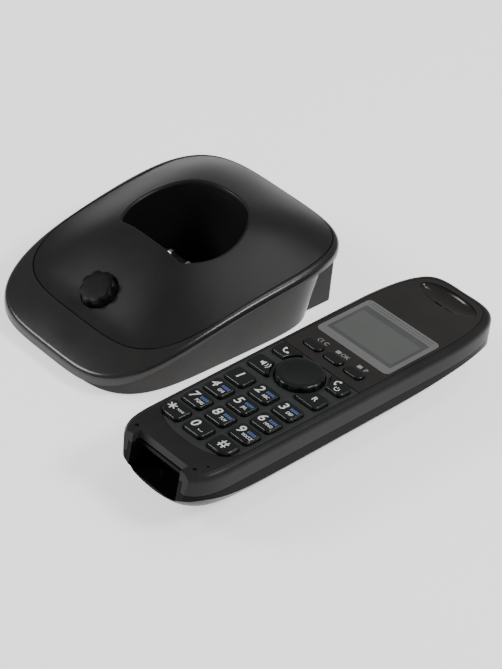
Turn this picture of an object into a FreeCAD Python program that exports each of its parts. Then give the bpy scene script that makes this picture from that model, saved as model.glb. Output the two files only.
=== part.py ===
import FreeCAD, Part
import math
import os

# A cordless telephone set: a domed base with a charging well, and a handset that
# lies face up beside it.  Millimetres, table at z = 0, +Z up, +Y to the rear.

# ------------------------------------------------------------------ base sizes
LID_HALF_W = 42.6
LID_HALF_D = 51.2
LID_CENTRE_Y = 7.6
LID_POWER = 4.0
LID_TAPER = 0.02
LID_WALL = 2.0
LID_SKIRT = 3.0
LID_SEAM_GAP = 0.35
LID_DOME = 13.4
LID_FLARE_FRONT = 1.5
LID_FLARE_REAR = 1.0
SEAM_FRONT_Z = 15.1
SEAM_RISE = 0.306
SEAM_SAG = 0.0015

RIM_HALF_W = 44.9
RIM_FRONT_Y = -57.7
RIM_REAR_Y = 60.6
RIM_POWER = 4.0
RIM_TAPER = 0.06
RIM_WALL = 2.2
RIM_FALL = 2.2
RIM_WEB_DEPTH = 5.0
RIM_LEDGE = 3.5
RIM_EDGE_R = 2.4
RIM_FRONT_LOW_Z = 3.2
RIM_REAR_LOW_Z = 26.5
RIM_LOW_POWER = 2.6

TUB_FLOOR_Z = 0.8
TUB_TOP_Z = 32.0
TUB_LOW_HALF_W = 41.0
TUB_LOW_FRONT_Y = -55.0
TUB_LOW_REAR_Y = 46.0
TUB_LOW_REAR_POWER = 5.5
TUB_LOW_TAPER = 0.02
TUB_WALL = 2.0
TUB_RIM_GAP = 0.2

WELL_CENTRE_Y = 11.5
WELL_CENTRE_Z = 36.4
WELL_LEAN_DEG = 12.0
WELL_R = 22.8
WELL_FRONT = 19.2
WELL_REAR = 19.2
WELL_CORNER_R = 3.0
WELL_DEPTH = 28.0
WELL_WALL = 1.6
WELL_LID_GAP = 0.2
WELL_LIP_R = 0.9

PLATFORM_HALF_W = 11.2
PLATFORM_FRONT = -4.4
PLATFORM_REAR = 2.7
PLATFORM_H = 9.0
PLATFORM_EDGE_R = 1.5
CONTACT_X = 5.0
CONTACT_W = 1.6
CONTACT_T = 4.0
CONTACT_H = 8.6
CONTACT_PROUD = 2.7
CONTACT_SLOT_GAP = 0.3
CONTACT_BODY_GAP = 0.1

BUTTON_Y = -33.0
BUTTON_R = 7.3
BUTTON_GAP = 0.35
BUTTON_PROUD = 3.4
BUTTON_EDGE_R = 0.9
BUTTON_FLANGE = 1.3
BUTTON_FLANGE_TOP = -2.4
BUTTON_FLANGE_T = 1.0
BUTTON_STEM_R = 2.0
BUTTON_STEM_H = 2.4
SWITCH_GAP = 0.7
SWITCH_PLUNGER_R = 1.5
SWITCH_PLUNGER_H = 0.8
SWITCH_W = 6.0
SWITCH_H = 3.5
SWITCH_BOARD_W = 26.0
SWITCH_BOARD_D = 13.0
SWITCH_BOARD_T = 1.0
SWITCH_POST_R = 1.6

PCB_Z = 4.4
PCB_T = 1.2
PCB_HALF_W = 36.0
PCB_FRONT_Y = -46.0
PCB_REAR_Y = 41.0
PCB_CORNER_R = 14.0
PCB_WELL_HALF_W = 27.5
PCB_WELL_FRONT_Y = -19.0
PCB_WELL_REAR_Y = 28.0
PCB_POST_R = 2.0
PCB_POST_X = 32.0
PCB_POST_YS = (-30.0, 32.0)

BLOCK_HALF_W = 35.5
BLOCK_REAR_Y = 55.0
BLOCK_FRONT_Y = 38.0
BLOCK_TOP_Z = 25.0
BLOCK_WALL = 2.0
BLOCK_GAP = 0.25
REAR_WINDOW_HALF_W = 30.0
REAR_WINDOW_TOP_Z = 19.0

LINE_X = -15.0
LINE_BODY = (13.5, 17.0, 11.5)
LINE_CAVITY = (9.9, 12.0, 6.9)
LINE_CAVITY_RAISE = 2.6
LINE_KEY = (6.4, 1.4)
LINE_PINS = 4
LINE_PIN_PITCH = 1.02
LINE_PIN_R = 0.22

DC_X = 15.0
DC_BODY = (10.0, 13.0, 10.0)
DC_HOLE_R = 3.1
DC_HOLE_DEPTH = 9.0
DC_PIN_R = 0.85
DC_WALL_HOLE_R = 4.2

FOOT_R = 5.0
FOOT_T = 1.6
FOOT_GAP = 0.15
FOOT_X = 30.0
FOOT_YS = (-34.0, 30.0)

BASE_SCREW_X = 26.0
BASE_SCREW_Y = -43.0
SCREW_R = 1.15
SCREW_HEAD_R = 2.3
SCREW_HEAD_T = 1.0
SCREW_GAP = 0.12
BOSS_R = 3.0
BASE_SCREW_L = 7.0

# --------------------------------------------------------------- handset sizes
HANDSET_X = 87.25
HANDSET_Y = -83.2
HANDSET_TURN_DEG = 0.74
HANDSET_L = 157.6
HANDSET_HALF_W = 21.4
HANDSET_HEAD_HALF_W = 22.3
FACE_Z = 26.0
SPLIT_Z = 17.6
SPLIT_GAP = 0.15
SHELL_WALL = 1.9
FACE_EDGE_R = 3.0
FOOT_REACH = 24.0
FOOT_POWER = 3.5
HEAD_REACH = 36.0
HEAD_POWER_ACROSS = 5.0
HEAD_POWER_ALONG = 2.2
HULL_SIDE_Z = 13.0
HULL_FOOT_Z = 14.2
HULL_HEAD_Z = 8.5
HULL_KEEL_Y = 78.0
END_LOW_Y = 0.3
END_TOP_Y = 3.4

PANEL_HALF_W = 18.7
PANEL_HEAD_HALF_W = 19.6
PANEL_FOOT_Y = 15.0
PANEL_HEAD_Y = 154.6
PANEL_FOOT_REACH = 14.0
PANEL_FOOT_POWER = 2.6
PANEL_HEAD_REACH = 34.0
PANEL_T = 2.0
PANEL_SPLIT_Y = 80.5
PANEL_SEAM = 0.2
PANEL_LEDGE = 1.8
LEDGE_T = 1.4

KEY_W = 9.5
KEY_D = 8.0
KEY_R = 1.8
KEY_OUTER_R = 3.8
KEY_PITCH_X = 11.9
KEY_PITCH_Y = 10.06
KEY_ROW_Y = 22.5
KEY_PROUD = 1.5
KEY_EDGE_R = 0.7
KEY_GAP = 0.25
KEY_FLANGE = 0.55
KEY_FLANGE_T = 0.9
KEY_FLANGE_GAP = 0.3
KEY_TRAVEL_GAP = 0.6

NAV_Y = 70.2
NAV_R = 9.2
NAV_PROUD = 2.3
NAV_DISH_R = 40.0
NAV_DISH_DEPTH = 0.5
WING_INNER_X = 6.4
WING_OUTER_X = 17.4
WING_NAV_GAP = 1.7
WING_UPPER_Y = (72.4, 79.0)
WING_LOWER_Y = (60.4, 67.9)
SOFT_Y = 87.0
SOFT_PITCH_X = 10.2
SOFT_W = 8.4
SOFT_D = 4.4
SOFT_R = 2.1
SOFT_PROUD = 0.9

WINDOW_HALF_W = 18.2
WINDOW_Y = (95.4, 124.4)
WINDOW_R = 2.2
WINDOW_T = 1.2
WINDOW_SINK = 0.05
WINDOW_LIP = 1.2
LCD_HALF_W = 17.0
LCD_Y = (97.0, 123.0)
LCD_T = 2.2
LCD_GAP = 0.3
LIGHT_T = 1.0

DISH_Y = 147.4
DISH_HALF_W = 13.5
DISH_HALF_D = 5.4
DISH_DEPTH = 2.9
DISH_BOSS_T = 2.6
DISH_SLOT_X = 2.7
DISH_SLOT_Y = 145.2
DISH_SLOT = (3.4, 1.1)
EAR_R = 9.5
EAR_Y = 144.6
EAR_Z = (15.0, 20.8)

HPCB_Z = 18.0
HPCB_T = 1.2
HPCB_HALF_W = 18.6
HPCB_Y = (17.0, 134.0)
HPCB_R = 5.0
MAT_T = 0.8
MAT_GAP = 0.3
MAT_HALF_W = 18.2
MAT_Y = (17.6, 90.6)
MAT_DOME_R = 2.9
MAT_DOME_TIP_R = 1.8

POCKET_HALF_W = 12.0
POCKET_Z = (12.2, 20.5)
POCKET_DEPTH_Y = 12.0
NOTCH_Y = 6.8
POCKET_WALL = 1.5
POCKET_FIT = 0.15
CHARGE_X = 5.0
CHARGE_W = 1.2
CHARGE_H = 5.6
CHARGE_T = 0.8
DIMPLE_X = 14.6
DIMPLE_Y = 7.2
DIMPLE_R = 0.9
DIMPLE_DEPTH = 0.6

COVER_HALF_W = 16.0
COVER_Y = (20.0, 92.0)
COVER_R = 6.0
COVER_T = 1.5
COVER_GAP = 0.3
COVER_LIP = 2.0
COVER_GRIP_Y = 84.0
CELL_R = 5.25
CELL_L = 43.0
CELL_NUB_R = 1.9
CELL_NUB_L = 1.2
CELL_X = 5.6
CELL_Y = 30.0
CELL_Z = 9.4
TRAY_HALF_W = 13.0
TRAY_Y = (24.6, 77.4)
TRAY_TOP_Z = 16.4
TRAY_WALL = 1.2
SPRING_WIRE_R = 0.25
SPRING_R = 2.6
SPRING_RINGS = 3
SPRING_LINK_R = 0.17
TAB_T = 0.4
TAB_W = 7.0
TAB_H = 8.0

RINGER_Y = 112.0
RINGER_R = 9.0
RINGER_Z = (4.2, 8.6)
GRILLE_SLOTS = 5
GRILLE_PITCH = 2.6
GRILLE_SLOT_W = 1.2
GRILLE_SLOT_L = 12.0
MIC_X = 16.2
MIC_Y = 14.4
MIC_R = 2.4
MIC_H = 2.0
MIC_HOLE_R = 0.5
HSCREW_X = 14.4
HSCREW_Y = 138.4
HSCREW_L = 8.6
HSCREW_Z = 11.2
HANTENNA = (16.0, 0.4, 3.4)

ARC_STEPS = 10
GRID_X = 12
GRID_Y = 24
BIG = 120.0

V = FreeCAD.Vector
X_AXIS = V(1, 0, 0)
Y_AXIS = V(0, 1, 0)
Z_AXIS = V(0, 0, 1)
ORIGIN = V(0, 0, 0)


# -------------------------------------------------------------------- helpers
def end_arc(half_w, end, sign, y_mid, lean):
    """Superelliptic end of an outline, from its +X side round to its -X side."""
    reach, power_x, power_y = end
    points = []
    for i in range(2 * ARC_STEPS + 1):
        angle = math.pi * i / (2 * ARC_STEPS)
        c = math.cos(angle)
        s = abs(math.sin(angle))
        x = half_w * math.copysign(abs(c) ** (2 / power_x), c)
        points.append(V(x, y_mid + sign * reach * s ** (2 / power_y), 0))
    points[0] = V(half_w, y_mid, 0)
    points[-1] = V(-half_w, y_mid, 0)
    curve = Part.BSplineCurve()
    curve.interpolate(Points=points, InitialTangent=V(sign * lean, sign, 0), FinalTangent=V(sign * lean, -sign, 0))
    return curve.toShape()


def oval(half_w0, half_w1, y0, y1, end0, end1):
    """Closed outline with straight sides and a superelliptic end at y0 and at y1."""
    low = y0 + end0[0]
    high = y1 - end1[0]
    lean = (half_w1 - half_w0) / (high - low)
    edges = [
        end_arc(half_w1, end1, 1, high, lean),
        Part.makeLine(V(-half_w1, high, 0), V(-half_w0, low, 0)),
        end_arc(half_w0, end0, -1, low, lean),
        Part.makeLine(V(half_w0, low, 0), V(half_w1, high, 0)),
    ]
    return Part.Wire(Part.__sortEdges__(edges))


def pebble(half_w, y0, y1, powers, taper, z=0.0):
    """Closed superelliptic outline that widens from y0 to y1."""
    middle = (y0 + y1) / 2
    half_d = (y1 - y0) / 2
    points = [V(0, y0, z)]
    for i in range(1, 4 * ARC_STEPS):
        angle = math.pi * (i / (4 * ARC_STEPS) - 0.5)
        s = math.sin(angle)
        power = powers[0] if s < 0 else powers[1]
        v = math.copysign(abs(s) ** (2 / power), s)
        x = half_w * (1 + taper * v) * math.cos(angle) ** (2 / power)
        points.append(V(x, middle + half_d * v, z))
    points.append(V(0, y1, z))
    curve = Part.BSplineCurve()
    curve.interpolate(Points=points, InitialTangent=V(1, 0, 0), FinalTangent=V(-1, 0, 0))
    right = curve.toShape()
    return Part.Wire(Part.__sortEdges__([right, right.mirror(ORIGIN, X_AXIS)]))


def prism(wire, z0, z1):
    face = Part.Face(wire)
    face.translate(V(0, 0, z0))
    return face.extrude(V(0, 0, z1 - z0))


def box(x0, x1, y0, y1, z0, z1):
    return Part.makeBox(x1 - x0, y1 - y0, z1 - z0, V(x0, y0, z0))


def rod(r, x, y, z0, z1):
    return Part.makeCylinder(r, z1 - z0, V(x, y, z0), Z_AXIS)


def rounded_rect(x0, x1, y0, y1, radii):
    """Rectangle with its own corner radius at (x0,y0), (x1,y0), (x1,y1), (x0,y1)."""
    corners = [V(x0, y0, 0), V(x1, y0, 0), V(x1, y1, 0), V(x0, y1, 0)]
    edges = []
    ends = []
    for i, corner in enumerate(corners):
        before = (corners[i - 1] - corner).normalize()
        after = (corners[(i + 1) % 4] - corner).normalize()
        r = radii[i]
        start = corner + before * r
        end = corner + after * r
        middle = corner + (before + after) * r * (1 - math.sqrt(0.5))
        edges.append(Part.Arc(start, middle, end).toShape())
        ends.append((start, end))
    for i in range(4):
        edges.append(Part.makeLine(ends[i][1], ends[(i + 1) % 4][0]))
    return Part.Wire(Part.__sortEdges__(edges))


def plate(x0, x1, y0, y1, r, z0, z1):
    return prism(rounded_rect(x0, x1, y0, y1, (r, r, r, r)), z0, z1)


def steps(a, b, count):
    return [a + (b - a) * i / count for i in range(count + 1)]


def sheet(height, half_x, y0, y1):
    """Smooth surface z = height(x, y)."""
    rows = []
    for x in steps(-half_x, half_x, GRID_X):
        rows.append([V(x, y, height(x, y)) for y in steps(y0, y1, GRID_Y)])
    surface = Part.BSplineSurface()
    surface.interpolate(rows)
    return surface.toShape()


def sweep(face, dz):
    solid = face.extrude(V(0, 0, dz))
    if solid.Volume < 0:
        solid.reverse()
    return solid


def below(height, half_x, y0, y1):
    return sweep(sheet(height, half_x, y0, y1), -BIG)


def above(height, half_x, y0, y1):
    return sweep(sheet(height, half_x, y0, y1), BIG)


def round_edges(solid, r, wanted):
    edges = [edge for edge in solid.Edges if wanted(edge.BoundBox)]
    return solid.makeFillet(r, edges)


def flat_at(z):
    return lambda b: abs(b.ZMin - z) < 1e-4 and abs(b.ZMax - z) < 1e-4


def fuse(shapes):
    result = shapes[0]
    for shape in shapes[1:]:
        result = result.fuse(shape)
    return result.removeSplitter()


def cut(shape, tools):
    for tool in tools:
        shape = shape.cut(tool)
    return shape


def both_sides(shape):
    """The shape and its mirror image across x = 0."""
    return [shape, shape.mirror(ORIGIN, X_AXIS)]


# ----------------------------------------------------------------------- base
def seam_z(x, y):
    t = y - (LID_CENTRE_Y - LID_HALF_D)
    return SEAM_FRONT_Z + SEAM_RISE * t - SEAM_SAG * t * t


def lid_spread(x, y):
    """0 at the middle of the lid and 1 on its outline."""
    v = (y - LID_CENTRE_Y) / LID_HALF_D
    u = x / (LID_HALF_W * (1 + LID_TAPER * v))
    return u ** 4 + v ** 4


def lid_z(x, y):
    """The dome leaves the seam gently at the front and steeply at the rear."""
    v = (y - LID_CENTRE_Y) / LID_HALF_D
    flare = LID_FLARE_REAR + (LID_FLARE_FRONT - LID_FLARE_REAR) * (1 - v) / 2
    rise = 1 - math.sqrt(lid_spread(x, y))
    return seam_z(x, y) + LID_DOME * math.copysign(abs(rise) ** flare, rise)


def rim_z(x, y):
    return seam_z(x, y) - RIM_FALL * (lid_spread(x, y) - 1)


def rim_low_z(x, y):
    u = (RIM_REAR_Y - y) / (RIM_REAR_Y - RIM_FRONT_Y)
    fall = RIM_REAR_LOW_Z - RIM_FRONT_LOW_Z
    return RIM_REAR_LOW_Z - math.copysign(fall * abs(u) ** RIM_LOW_POWER, u)


def lowered(height, drop):
    return lambda x, y: height(x, y) - drop


def base_below(height):
    return below(height, RIM_HALF_W * (1 + RIM_TAPER) + 2, RIM_FRONT_Y - 2, RIM_REAR_Y + 2)


def lid_outline(inset):
    front = LID_CENTRE_Y - LID_HALF_D + inset
    rear = LID_CENTRE_Y + LID_HALF_D - inset
    return pebble(LID_HALF_W - inset, front, rear, (LID_POWER, LID_POWER), LID_TAPER)


def rim_outline(inset):
    return pebble(RIM_HALF_W - inset, RIM_FRONT_Y + inset, RIM_REAR_Y - inset, (RIM_POWER, RIM_POWER), RIM_TAPER)


def well_frame(shape):
    """Move a shape from the well's own leaning frame into the base."""
    shape = shape.copy()
    shape.rotate(ORIGIN, X_AXIS, -WELL_LEAN_DEG)
    shape.translate(V(0, WELL_CENTRE_Y, WELL_CENTRE_Z))
    return shape


def well_outline(grow):
    """Circle cut off by a straight front edge with rounded corners."""
    big = WELL_R + grow
    small = WELL_CORNER_R + grow
    middle_y = WELL_REAR - WELL_R
    front = -WELL_FRONT - grow
    corner_y = front + small
    corner_x = math.sqrt((big - small) ** 2 - (middle_y - corner_y) ** 2)
    outward = V(corner_x, corner_y - middle_y, 0).normalize()
    halfway = (outward + V(0, -1, 0)).normalize()
    corner = V(corner_x, corner_y, 0)
    start = V(corner_x, front, 0)
    touch = corner + outward * small
    right = Part.Arc(start, corner + halfway * small, touch).toShape()
    left_touch = V(-touch.x, touch.y, 0)
    edges = [right, right.mirror(ORIGIN, X_AXIS), Part.Arc(touch, V(0, middle_y + big, 0), left_touch).toShape(),
             Part.makeLine(V(-corner_x, front, 0), start)]
    return Part.Wire(Part.__sortEdges__(edges))


def well_bore(grow, z0, z1):
    return well_frame(prism(well_outline(grow), z0, z1))


def button_slope():
    dy = 0.01
    return math.degrees(math.atan((lid_z(0, BUTTON_Y + dy) - lid_z(0, BUTTON_Y)) / dy))


def button_frame(shape):
    """Move a shape from the button's own tilted frame onto the lid."""
    shape = shape.copy()
    shape.rotate(ORIGIN, X_AXIS, button_slope())
    shape.translate(V(0, BUTTON_Y, lid_z(0, BUTTON_Y)))
    return shape


def switch_board_top():
    stem_end = BUTTON_FLANGE_TOP - BUTTON_FLANGE_T - BUTTON_STEM_H
    return stem_end - SWITCH_GAP - SWITCH_PLUNGER_H - SWITCH_H - 0.1


def base_lid():
    outer = prism(lid_outline(0), 0, BIG).common(base_below(lid_z))
    hollow = prism(lid_outline(LID_WALL), 0, BIG).common(base_below(lowered(lid_z, LID_WALL)))
    lid = outer.cut(hollow)
    lid = lid.cut(base_below(lowered(seam_z, LID_SKIRT)))
    post_x = SWITCH_BOARD_W / 2 - SWITCH_POST_R
    post = button_frame(rod(SWITCH_POST_R, post_x, 0, switch_board_top() + 0.1, -1.2))
    lid = fuse([lid] + both_sides(post))
    hole = button_frame(rod(BUTTON_R + BUTTON_GAP, 0, 0, -8, 12))
    lid = cut(lid, [well_bore(0, -12, BIG), hole])
    return lid.makeFillet(WELL_LIP_R, well_mouth(lid))


def well_mouth(lid):
    """Edges where the well comes through the top of the lid."""
    edges = []
    for edge in lid.Edges:
        middle = edge.valueAt((edge.FirstParameter + edge.LastParameter) / 2)
        on_top = abs(middle.z - lid_z(middle.x, middle.y)) < 0.05
        if on_top and math.hypot(middle.x, middle.y - WELL_CENTRE_Y) < WELL_R + 4:
            edges.append(edge)
    return edges


def base_rim():
    outer = prism(rim_outline(0), -10, BIG).common(base_below(rim_z))
    top_edges = lambda b: b.ZMin > 0.5 and b.ZLength > 3 and b.YLength > 50
    outer = round_edges(outer, RIM_EDGE_R, top_edges)
    outer = outer.cut(base_below(rim_low_z))
    hollow = prism(rim_outline(RIM_WALL), -10, BIG)
    hollow = hollow.common(base_below(lowered(rim_z, RIM_WEB_DEPTH)))
    boss = rod(BOSS_R, BASE_SCREW_X, BASE_SCREW_Y, TUB_FLOOR_Z + TUB_WALL + 0.2, seam_z(0, BASE_SCREW_Y) - 4)
    rim = fuse([outer.cut(hollow)] + both_sides(boss))
    pocket = prism(lid_outline(-LID_SEAM_GAP), 0, BIG)
    pocket = pocket.cut(base_below(lowered(seam_z, LID_SKIRT + LID_SEAM_GAP)))
    through = prism(lid_outline(RIM_LEDGE), -10, BIG)
    bores = both_sides(rod(SCREW_R + SCREW_GAP, BASE_SCREW_X, BASE_SCREW_Y, -5, 8.4))
    return cut(rim, [pocket, through] + bores)


def tub_loft(inset, z_low, z_high):
    """Flared body of the base: narrow at the table, wide under the rim."""
    def outline(z):
        u = (z - TUB_FLOOR_Z) / (TUB_TOP_Z - TUB_FLOOR_Z)
        top_gap = RIM_WALL + TUB_RIM_GAP
        half_w = TUB_LOW_HALF_W + u * (RIM_HALF_W - top_gap - TUB_LOW_HALF_W) - inset
        front = TUB_LOW_FRONT_Y + u * (RIM_FRONT_Y + top_gap - TUB_LOW_FRONT_Y) + inset
        rear = TUB_LOW_REAR_Y + u * (RIM_REAR_Y - top_gap - TUB_LOW_REAR_Y) - inset
        power = TUB_LOW_REAR_POWER + u * (RIM_POWER - TUB_LOW_REAR_POWER)
        taper = TUB_LOW_TAPER + u * (RIM_TAPER - TUB_LOW_TAPER)
        return pebble(half_w, front, rear, (RIM_POWER, power), taper, z)
    return Part.makeLoft([outline(z_low), outline(z_high)], True, True)


def base_tub():
    tub = tub_loft(0, TUB_FLOOR_Z, TUB_TOP_Z)
    tub = tub.common(base_below(lowered(rim_z, RIM_WEB_DEPTH + TUB_RIM_GAP)))
    tub = tub.cut(tub_loft(TUB_WALL, TUB_FLOOR_Z + TUB_WALL, TUB_TOP_Z + 5))
    floor_top = TUB_FLOOR_Z + TUB_WALL
    posts = []
    for y in PCB_POST_YS:
        posts += both_sides(rod(PCB_POST_R, PCB_POST_X, y, floor_top - 0.5, PCB_Z - 0.1))
    tub = fuse([tub] + posts)
    window = box(-REAR_WINDOW_HALF_W, REAR_WINDOW_HALF_W, TUB_LOW_REAR_Y - 8, RIM_REAR_Y,
                 floor_top + 0.2, REAR_WINDOW_TOP_Z)
    tools = [window]
    for y in FOOT_YS:
        tools += both_sides(rod(FOOT_R + FOOT_GAP, FOOT_X, y, 0, FOOT_T + 0.1))
    tools += both_sides(rod(SCREW_R + SCREW_GAP, BASE_SCREW_X, BASE_SCREW_Y, 0, floor_top + 1))
    head_top = TUB_FLOOR_Z + SCREW_HEAD_T + 0.2
    tools += both_sides(rod(SCREW_HEAD_R + SCREW_GAP, BASE_SCREW_X, BASE_SCREW_Y, 0, head_top))
    return cut(tub, tools)


def screw(x, y, z, length):
    """Pan-head screw driven upwards, with a cross recess in its head."""
    head = rod(SCREW_HEAD_R, x, y, z, z + SCREW_HEAD_T)
    shank = rod(SCREW_R, x, y, z + SCREW_HEAD_T - 0.1, z + SCREW_HEAD_T + length)
    body = fuse([head, shank])
    half = SCREW_HEAD_R * 0.6
    slots = [box(x - half, x + half, y - 0.25, y + 0.25, z - 1, z + 0.5),
             box(x - 0.25, x + 0.25, y - half, y + half, z - 1, z + 0.5)]
    return cut(body, slots)


def base_screws():
    z = TUB_FLOOR_Z + 0.1
    return Part.makeCompound([screw(s * BASE_SCREW_X, BASE_SCREW_Y, z, BASE_SCREW_L - 1) for s in (-1, 1)])


def base_feet():
    feet = []
    for y in FOOT_YS:
        for x in (-FOOT_X, FOOT_X):
            foot = rod(FOOT_R, x, y, 0, FOOT_T)
            feet.append(round_edges(foot, 0.4, flat_at(0)))
    return Part.makeCompound(feet)


def cradle_cup():
    cup = well_bore(WELL_WALL, -WELL_DEPTH - WELL_WALL, BIG)
    cup = cup.cut(well_bore(0, -WELL_DEPTH, BIG + 5))
    return cup.common(base_below(lowered(lid_z, LID_WALL + WELL_LID_GAP)))


def contact_holder():
    low = -WELL_DEPTH + 0.05
    top = -WELL_DEPTH + PLATFORM_H
    block = plate(-PLATFORM_HALF_W, PLATFORM_HALF_W, PLATFORM_FRONT, PLATFORM_REAR, PLATFORM_EDGE_R, low, top)
    block = round_edges(block, 0.8, flat_at(top))
    middle = (PLATFORM_FRONT + PLATFORM_REAR) / 2
    half_w = CONTACT_W / 2 + CONTACT_SLOT_GAP
    half_t = CONTACT_T / 2 + CONTACT_SLOT_GAP
    slot = box(CONTACT_X - half_w, CONTACT_X + half_w, middle - half_t, middle + half_t, low + 0.8, top + 1)
    return well_frame(cut(block, both_sides(slot)))


def base_contact(sign):
    """Sprung charge contact: a blade with a rounded crown."""
    middle = (PLATFORM_FRONT + PLATFORM_REAR) / 2
    crown_r = CONTACT_T / 2
    top = -WELL_DEPTH + PLATFORM_H + CONTACT_PROUD
    x = sign * CONTACT_X - CONTACT_W / 2
    crown = Part.makeCylinder(crown_r, CONTACT_W, V(x, middle, top - crown_r), X_AXIS)
    blade = box(x, x + CONTACT_W, middle - crown_r, middle + crown_r, top - CONTACT_H, top - crown_r)
    return well_frame(fuse([crown, blade]))


def locator_button():
    cap = rod(BUTTON_R, 0, 0, BUTTON_FLANGE_TOP - 0.5, BUTTON_PROUD)
    cap = round_edges(cap, BUTTON_EDGE_R, flat_at(BUTTON_PROUD))
    low = BUTTON_FLANGE_TOP - BUTTON_FLANGE_T
    flange = rod(BUTTON_R + BUTTON_FLANGE, 0, 0, low, BUTTON_FLANGE_TOP)
    stem = rod(BUTTON_STEM_R, 0, 0, low - BUTTON_STEM_H, low)
    return button_frame(fuse([cap, flange, stem]))


def locator_switch():
    top = switch_board_top() + 0.1
    half = SWITCH_W / 2
    body = box(-half, half, -half, half, top, top + SWITCH_H)
    plunger = rod(SWITCH_PLUNGER_R, 0, 0, top + SWITCH_H - 0.1, top + SWITCH_H + SWITCH_PLUNGER_H)
    return button_frame(fuse([body, plunger]))


def locator_board():
    top = switch_board_top()
    half_w = SWITCH_BOARD_W / 2
    half_d = SWITCH_BOARD_D / 2
    return button_frame(plate(-half_w, half_w, -half_d, half_d, 1.5, top - SWITCH_BOARD_T, top))


def base_pcb():
    board = plate(-PCB_HALF_W, PCB_HALF_W, PCB_FRONT_Y, PCB_REAR_Y, PCB_CORNER_R, PCB_Z, PCB_Z + PCB_T)
    opening = plate(-PCB_WELL_HALF_W, PCB_WELL_HALF_W, PCB_WELL_FRONT_Y, PCB_WELL_REAR_Y, 3, 0, 20)
    holes = both_sides(rod(BOSS_R + 0.5, BASE_SCREW_X, BASE_SCREW_Y, 0, 20))
    return cut(board, [opening] + holes)


def base_antenna():
    """Folded strip antenna standing on the board."""
    top = PCB_Z + PCB_T
    strip = box(-32, -12, -34.4, -34, top + 3, top + 5)
    legs = [box(x, x + 1.6, -34.4, -34, top + 0.05, top + 3.2) for x in (-32, -26)]
    return fuse([strip] + legs)


def jack_block():
    outer = box(-BLOCK_HALF_W, BLOCK_HALF_W, BLOCK_FRONT_Y, BLOCK_REAR_Y, TUB_FLOOR_Z, BLOCK_TOP_Z)
    rear_corner = lambda b: b.ZLength > 20 and b.YMin > BLOCK_REAR_Y - 0.1
    outer = round_edges(outer, 1.5, rear_corner)
    w = BLOCK_WALL
    inner = box(-BLOCK_HALF_W + w, BLOCK_HALF_W - w, BLOCK_FRONT_Y - 1, BLOCK_REAR_Y - w,
                TUB_FLOOR_Z + w, BLOCK_TOP_Z - w)
    block = outer.cut(inner).cut(tub_loft(-BLOCK_GAP, TUB_FLOOR_Z - 2, TUB_TOP_Z))
    floor_top = TUB_FLOOR_Z + w
    tabs = both_sides(box(20, 26, TUB_LOW_REAR_Y - 6, TUB_LOW_REAR_Y + 4, floor_top + 0.4, floor_top + 1.6))
    heels = both_sides(box(20, 26, TUB_LOW_REAR_Y + 2, TUB_LOW_REAR_Y + 4, floor_top - 0.5, floor_top + 1))
    block = fuse([block] + tabs + heels)
    cavity_z = line_cavity_z()
    half = LINE_CAVITY[0] / 2 + 0.4
    hole = box(LINE_X - half, LINE_X + half, BLOCK_REAR_Y - 4, BLOCK_REAR_Y + 2,
               cavity_z - LINE_KEY[1] - 0.4, cavity_z + LINE_CAVITY[2] + 0.4)
    dc = Part.makeCylinder(DC_WALL_HOLE_R, 6, V(DC_X, BLOCK_REAR_Y - 4, dc_z()), Y_AXIS)
    return cut(block, [hole, dc])


def jack_face_y():
    return BLOCK_REAR_Y - BLOCK_WALL - 0.2


def jack_seat_z():
    return PCB_Z + PCB_T + 0.1


def line_cavity_z():
    return jack_seat_z() + LINE_CAVITY_RAISE


def dc_z():
    return jack_seat_z() + DC_BODY[2] / 2


def line_jack():
    w, d, h = LINE_BODY
    y1 = jack_face_y()
    z0 = jack_seat_z()
    body = box(LINE_X - w / 2, LINE_X + w / 2, y1 - d, y1, z0, z0 + h)
    cw, cd, ch = LINE_CAVITY
    zc = line_cavity_z()
    cavity = box(LINE_X - cw / 2, LINE_X + cw / 2, y1 - cd, y1 + 1, zc, zc + ch)
    kw, kh = LINE_KEY
    key = box(LINE_X - kw / 2, LINE_X + kw / 2, y1 - cd, y1 + 1, zc - kh, zc + 0.1)
    return cut(body, [cavity, key])


def line_jack_contacts():
    wires = []
    y1 = jack_face_y()
    cd = LINE_CAVITY[1]
    top = line_cavity_z() + LINE_CAVITY[2]
    for i in range(LINE_PINS):
        x = LINE_X + (i - (LINE_PINS - 1) / 2) * LINE_PIN_PITCH
        start = V(x, y1 - cd + 0.8, top - 2.0)
        end = V(x, y1 - 2.0, top - 0.6)
        direction = end - start
        wires.append(Part.makeCylinder(LINE_PIN_R, direction.Length, start, direction))
    return Part.makeCompound(wires)


def dc_jack():
    w, d, h = DC_BODY
    y1 = jack_face_y()
    z0 = jack_seat_z()
    body = box(DC_X - w / 2, DC_X + w / 2, y1 - d, y1, z0, z0 + h)
    hole = Part.makeCylinder(DC_HOLE_R, DC_HOLE_DEPTH + 1, V(DC_X, y1 - DC_HOLE_DEPTH, dc_z()), Y_AXIS)
    return body.cut(hole)


def dc_pin():
    y1 = jack_face_y()
    length = DC_HOLE_DEPTH - 1.2
    pin = Part.makeCylinder(DC_PIN_R, length, V(DC_X, y1 - DC_HOLE_DEPTH + 0.1, dc_z()), Y_AXIS)
    return round_edges(pin, 0.4, lambda b: b.YMin > y1 - 2)


# -------------------------------------------------------------------- handset
def hull_z(x, y):
    """Underside of the handset, which turns up sharply at the charging end."""
    across = x / HANDSET_HALF_W
    along = (y - HULL_KEEL_Y) / (HANDSET_L / 2)
    end = HULL_FOOT_Z * along ** 8 if along < 0 else HULL_HEAD_Z * along ** 4
    return HULL_SIDE_Z * (0.4 * across ** 2 + 0.6 * across ** 4) + end


def handset_above(lift):
    return above(lambda x, y: hull_z(x, y) + lift, HANDSET_HEAD_HALF_W + 2, -3, HANDSET_L + 3)


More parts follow.
